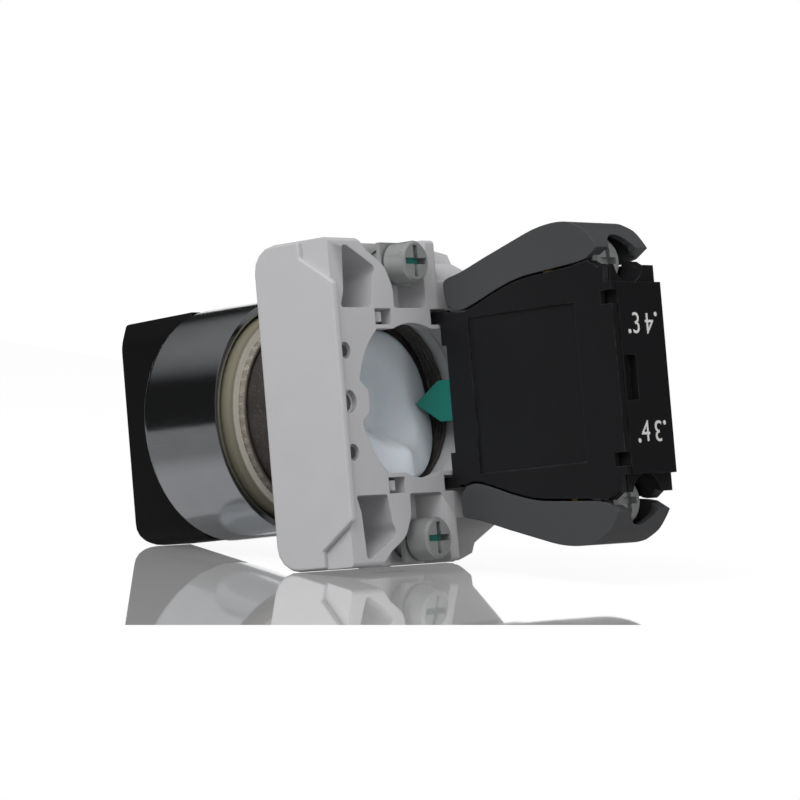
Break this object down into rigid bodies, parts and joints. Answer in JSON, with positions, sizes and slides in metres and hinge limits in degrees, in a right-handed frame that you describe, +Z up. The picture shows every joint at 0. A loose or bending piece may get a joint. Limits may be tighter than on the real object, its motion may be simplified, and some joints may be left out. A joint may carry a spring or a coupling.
{
  "type": "selector switch",
  "caption": "Panel-mounted two-position selector switch: grip-bar handle in a round metal bezel, screw-clamped fixing collar and one normally open contact block.",
  "frame": {"origin": "on the head's axis, in the plane of the bezel's rear rim, which is where the front of the panel lies", "axes": "+Y along the head's axis, from the handle to the contact block; +Z up on the panel, along the collar's long side; +X to the right as seen from the handle's side"},
  "size_m": [0.03, 0.0701, 0.0388],
  "materials": {
    "chrome_bezel": "bright plating",
    "cast_zinc": "dark grainy casting",
    "zinc_plated_steel": "zinc plated",
    "spring_steel": "drawn wire and strip",
    "brass_strip": "stamped strip",
    "silver_tip": "silver contact",
    "black_housing": "satin moulding",
    "black_handle": "satin moulding",
    "grey_shroud": "satin moulding",
    "light_grey_collar": "fine matt moulding",
    "white_cam": "translucent bearing plastic",
    "cream_gasket": "soft seal",
    "white_marker": "inlaid line",
    "black_rubber": "seal ring",
    "green_plunger": "satin moulding"
  },
  "bodies": {
    "head": {"bezel": "chrome_bezel", "head_body": "cast_zinc", "panel_gasket": "cream_gasket", "upper_detent_spring": "spring_steel", "lower_detent_spring": "spring_steel", "collar": "light_grey_collar", "upper_fixing_screw": "zinc_plated_steel", "lower_fixing_screw": "zinc_plated_steel", "upper_screw_washer": "zinc_plated_steel", "lower_screw_washer": "zinc_plated_steel", "upper_panel_nut": "zinc_plated_steel", "lower_panel_nut": "zinc_plated_steel", "block_housing": "black_housing", "block_cover": "black_housing", "upper_shroud": "grey_shroud", "lower_shroud": "grey_shroud", "return_spring": "spring_steel", "upper_fixed_contact": "brass_strip", "lower_fixed_contact": "brass_strip", "upper_fixed_tip": "silver_tip", "lower_fixed_tip": "silver_tip"},
    "selector": {"selector_handle": "black_handle", "handle_marker": "white_marker", "handle_seal": "black_rubber", "retaining_clip": "spring_steel", "cam": "white_cam"},
    "plunger": {"plunger": "green_plunger", "contact_spring": "spring_steel"},
    "bridge": {"contact_bridge": "brass_strip", "upper_moving_tip": "silver_tip", "lower_moving_tip": "silver_tip"},
    "upper_terminal": {"upper_terminal_screw": "zinc_plated_steel", "upper_wire_clamp": "zinc_plated_steel"},
    "lower_terminal": {"lower_terminal_screw": "zinc_plated_steel", "lower_wire_clamp": "zinc_plated_steel"}
  },
  "joints": [
    {"name": "selector_turn", "type": "hinge", "parent": "head", "child": "selector", "pos_m": [0, 0, 0], "axis": [0, 1, 0], "range_deg": [0, 90], "deforming": ["upper_detent_spring", "lower_detent_spring"]},
    {"name": "plunger_slide", "type": "slide", "parent": "head", "child": "plunger", "axis": [0, 1, 0], "range_m": [0, 0.0043], "deforming": ["return_spring"]},
    {"name": "bridge_slide", "type": "slide", "parent": "plunger", "child": "bridge", "axis": [0, 1, 0], "range_m": [-0.0017, 0], "deforming": ["contact_spring"]},
    {"name": "upper_terminal_travel", "type": "slide", "parent": "head", "child": "upper_terminal", "axis": [0, -1, 0], "range_m": [0, 0.0018]},
    {"name": "lower_terminal_travel", "type": "slide", "parent": "head", "child": "lower_terminal", "axis": [0, -1, 0], "range_m": [0, 0.0018]}
  ],
  "couplings": [
    {"joint": "plunger_slide", "follows": "selector_turn", "m_per_rad": 0.002737},
    {"joint": "bridge_slide", "follows": "selector_turn", "m_per_rad": -0.001082}
  ]
}
